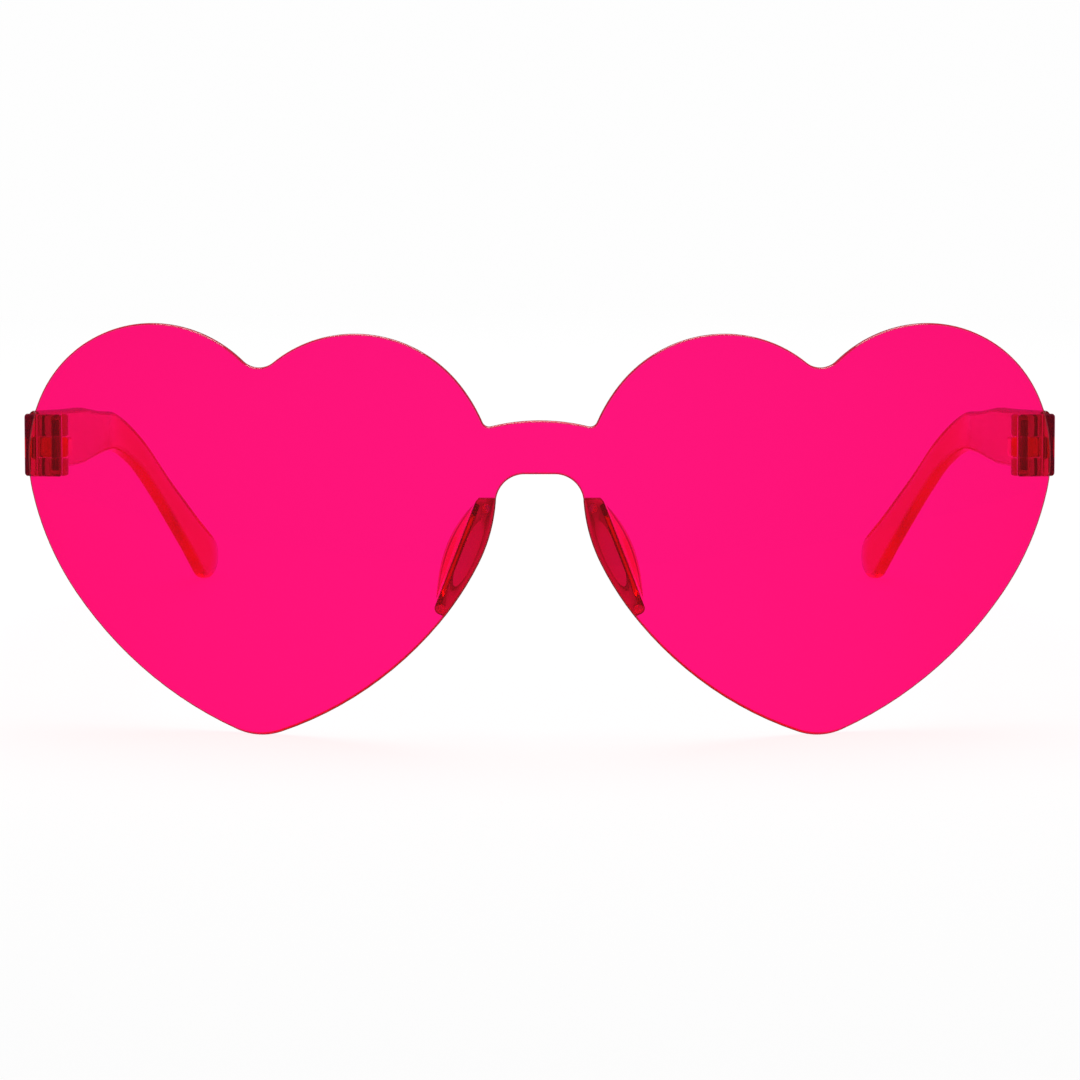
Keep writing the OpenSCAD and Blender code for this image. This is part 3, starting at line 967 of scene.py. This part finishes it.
def make_arm():
    """Draws the arm flat from the side, then thickens, rounds and curls it."""
    places = [temple_l * i / STATIONS for i in range(1, STATIONS + 1)]
    ear, _ = middle_line(temple_l)
    bm = bmesh.new()
    start = bm.verts.new((-TEMPLE_T / 2, HINGE_Y + BUTT_GAP, block_low))
    last = draw_edge(bm, start, places, -1)
    last = draw_arc(bm, last, (-TEMPLE_T / 2, ear.x, ear.y), (1, 0, 0), 180)
    last = draw_edge(bm, last, reversed(places[:-1]), 1)
    draw_line(bm, last, (-TEMPLE_T / 2, HINGE_Y + BUTT_GAP, block_low + 2 * EAR_R * HALF_SHARES[0]))
    fill(bm)
    thicken(bm, (TEMPLE_T, 0, 0))
    round_edges(bm, ARM_SOFT)
    wrap_y = HINGE_Y + WRAP_START
    slice_up(bm, (0, 1, 0), [wrap_y + y for y in span(-2 * STRIP, WRAP_R * sin(radians(WRAP)), STRIP)])
    for vert in bm.verts:
        vert.co.x = plan_x(vert.co.y, vert.co.x)
    return make_piece("arm", bm)


def make_middle_barrel():
    """The temple's barrel and the gusset that joins it to the arm, as one outline."""
    inner = block_x - TEMPLE_T
    seat_x = inner + TEMPLE_T / 2
    bm = bmesh.new()
    start = bm.verts.new((hinge_x - BARREL_R, HINGE_Y, mid_low))
    last = draw_arc(bm, start, (hinge_x, HINGE_Y, mid_low), UPWARD, 180)
    for x, y in ((hinge_x + BARREL_R, BUTT_GAP), (seat_x, BUTT_GAP), (seat_x, GUSSET_L),
                 (inner - BUTT_GAP, GUSSET_L), (hinge_x - BARREL_R, GUSSET_FLAT_L)):
        last = draw_line(bm, last, (x, HINGE_Y + y, mid_low))
    fill(bm)
    thicken(bm, (0, 0, MID_H))
    round_edges(bm, BARREL_SOFT)
    return make_piece("middle_barrel", bm)


arm = make_arm()
join_or_cut(arm, make_middle_barrel(), "UNION")
bore = rod("bore", PIN_R + PIN_GAP, mid_low - OVERRUN, mid_high + OVERRUN, on_axis)
join_or_cut(arm, bore, "DIFFERENCE")
for side, mirror in SIDES.items():
    set_in_place(arm, "temple." + side, LEVEL @ mirror, temple_plastic, side + "_arm",
                 side + "_temple", lambda point: pointing(plan_turn(point.y, WRAP_R)).to_3d())
drop(arm)

# %% [markdown]
# ## Table and light
# The glasses stand on a white table in front of white paper. A clear piece shows what is behind it, so
# the white has to be there for rays that pass through it too. What the outer faces mirror is another
# matter: for them room and table are dark, which keeps the red deep and free of a mirrored table. Light
# that turned round inside a piece and comes out toward the front sees a dim room, so thick plastic gets
# darker bands but no black ones. A wide soft lamp overhead and the world give the table its faint
# shadows.

# %% Ways of the light


def light_ways(nodes, links):
    """Three switches for a node tree: seen by the camera, seen through plastic, mirrored outside."""
    way = nodes.new("ShaderNodeLightPath")
    outside = nodes.new("ShaderNodeMath")
    outside.operation = "LESS_THAN"
    outside.inputs[1].default_value = 1
    links.new(way.outputs["Transmission Depth"], outside.inputs[0])
    mirrored = nodes.new("ShaderNodeMath")
    mirrored.operation = "MULTIPLY"
    links.new(way.outputs["Is Reflection Ray"], mirrored.inputs[0])
    links.new(outside.outputs["Value"], mirrored.inputs[1])
    return way.outputs["Is Camera Ray"], way.outputs["Is Transmission Ray"], mirrored.outputs["Value"]


# %% Table
TABLE_R = 0.6
TABLE_SEGMENTS = 96
PAPER = (0.93, 0.93, 0.93, 1)
# How much of the table glows by itself, and how bright it is where an outer face mirrors it
GLOW = 0.88
MIRRORED = 0.08


def table_finish():
    """White paper that catches a shadow, glows for the camera and is dark where it is mirrored."""
    material, nodes, links = new_finish("white_table")
    nodes.clear()
    output = nodes.new("ShaderNodeOutputMaterial")
    paper = nodes.new("ShaderNodeBsdfDiffuse")
    paper.inputs["Color"].default_value = PAPER
    glow = nodes.new("ShaderNodeEmission")
    dark = nodes.new("ShaderNodeEmission")
    dark.inputs["Strength"].default_value = MIRRORED
    seen, through, mirrored = light_ways(nodes, links)
    either = nodes.new("ShaderNodeMath")
    either.operation = "MAXIMUM"
    part = nodes.new("ShaderNodeMath")
    part.operation = "MULTIPLY"
    part.inputs[1].default_value = GLOW
    lit = nodes.new("ShaderNodeMixShader")
    mix = nodes.new("ShaderNodeMixShader")
    links.new(seen, either.inputs[0])
    links.new(through, either.inputs[1])
    links.new(either.outputs["Value"], part.inputs[0])
    links.new(part.outputs["Value"], lit.inputs["Fac"])
    links.new(paper.outputs["BSDF"], lit.inputs[1])
    links.new(glow.outputs["Emission"], lit.inputs[2])
    links.new(mirrored, mix.inputs["Fac"])
    links.new(lit.outputs["Shader"], mix.inputs[1])
    links.new(dark.outputs["Emission"], mix.inputs[2])
    links.new(mix.outputs["Shader"], output.inputs["Surface"])
    return material


bm = bmesh.new()
bmesh.ops.create_circle(bm, cap_ends=True, radius=TABLE_R, segments=TABLE_SEGMENTS)
table = make_piece("table", bm)
table.data.materials.append(table_finish())
print("Table of", 2 * TABLE_R, "m")

# %% World
BACKDROP = (0.99, 0.99, 0.99, 1)
# How bright the room is in front, and behind in what an outer face mirrors
DIM_FRONT = 0.5
MIRRORED_BEHIND = 0.1
# The room brightens between directions with these shares of Y
FRONT_ENDS = -0.2
BACK_STARTS = 0.6


def studio_world():
    """White for the camera and behind the glasses, dimmer in front, and dark in what they mirror."""
    world = bpy.data.worlds.new("studio")
    world.use_nodes = True
    nodes = world.node_tree.nodes
    links = world.node_tree.links
    nodes.clear()
    output = nodes.new("ShaderNodeOutputWorld")
    white = nodes.new("ShaderNodeBackground")
    white.inputs["Color"].default_value = BACKDROP
    room = nodes.new("ShaderNodeBackground")
    room.inputs["Color"].default_value = (1, 1, 1, 1)
    seen, _, mirrored = light_ways(nodes, links)
    darkest = nodes.new("ShaderNodeMapRange")
    darkest.inputs["To Min"].default_value = DIM_FRONT
    darkest.inputs["To Max"].default_value = MIRRORED
    lightest = nodes.new("ShaderNodeMapRange")
    lightest.inputs["To Min"].default_value = 1
    lightest.inputs["To Max"].default_value = MIRRORED_BEHIND
    place = nodes.new("ShaderNodeTexCoord")
    split = nodes.new("ShaderNodeSeparateXYZ")
    level = nodes.new("ShaderNodeMapRange")
    level.inputs["From Min"].default_value = FRONT_ENDS
    level.inputs["From Max"].default_value = BACK_STARTS
    mix = nodes.new("ShaderNodeMixShader")
    links.new(mirrored, darkest.inputs["Value"])
    links.new(mirrored, lightest.inputs["Value"])
    links.new(lightest.outputs["Result"], level.inputs["To Max"])
    links.new(place.outputs["Generated"], split.inputs["Vector"])
    links.new(split.outputs["Y"], level.inputs["Value"])
    links.new(darkest.outputs["Result"], level.inputs["To Min"])
    links.new(level.outputs["Result"], room.inputs["Strength"])
    links.new(seen, mix.inputs["Fac"])
    links.new(room.outputs["Background"], mix.inputs[1])
    links.new(white.outputs["Background"], mix.inputs[2])
    links.new(mix.outputs["Shader"], output.inputs["Surface"])
    bpy.context.scene.world = world
    return world


print("World:", studio_world().name)

# %% Lamp
LAMP_SIZE = 0.9
LAMP_WATTS = 11
LAMP_PLACE = (0, 0.25, 0.9)
LAMP_TILT = -15

lamp_data = bpy.data.lights.new("top_lamp", "AREA")
lamp_data.shape = "DISK"
lamp_data.size = LAMP_SIZE
lamp_data.energy = LAMP_WATTS
lamp = bpy.data.objects.new("top_lamp", lamp_data)
lamp.location = LAMP_PLACE
lamp.rotation_euler = (radians(LAMP_TILT), 0, 0)
bpy.context.scene.collection.objects.link(lamp)
print("One lamp of", lamp_data.energy, "W")

# %% [markdown]
# ## Colours
# The colours are shown as they are written.

# %% Finish
bpy.context.scene.view_settings.view_transform = "Standard"
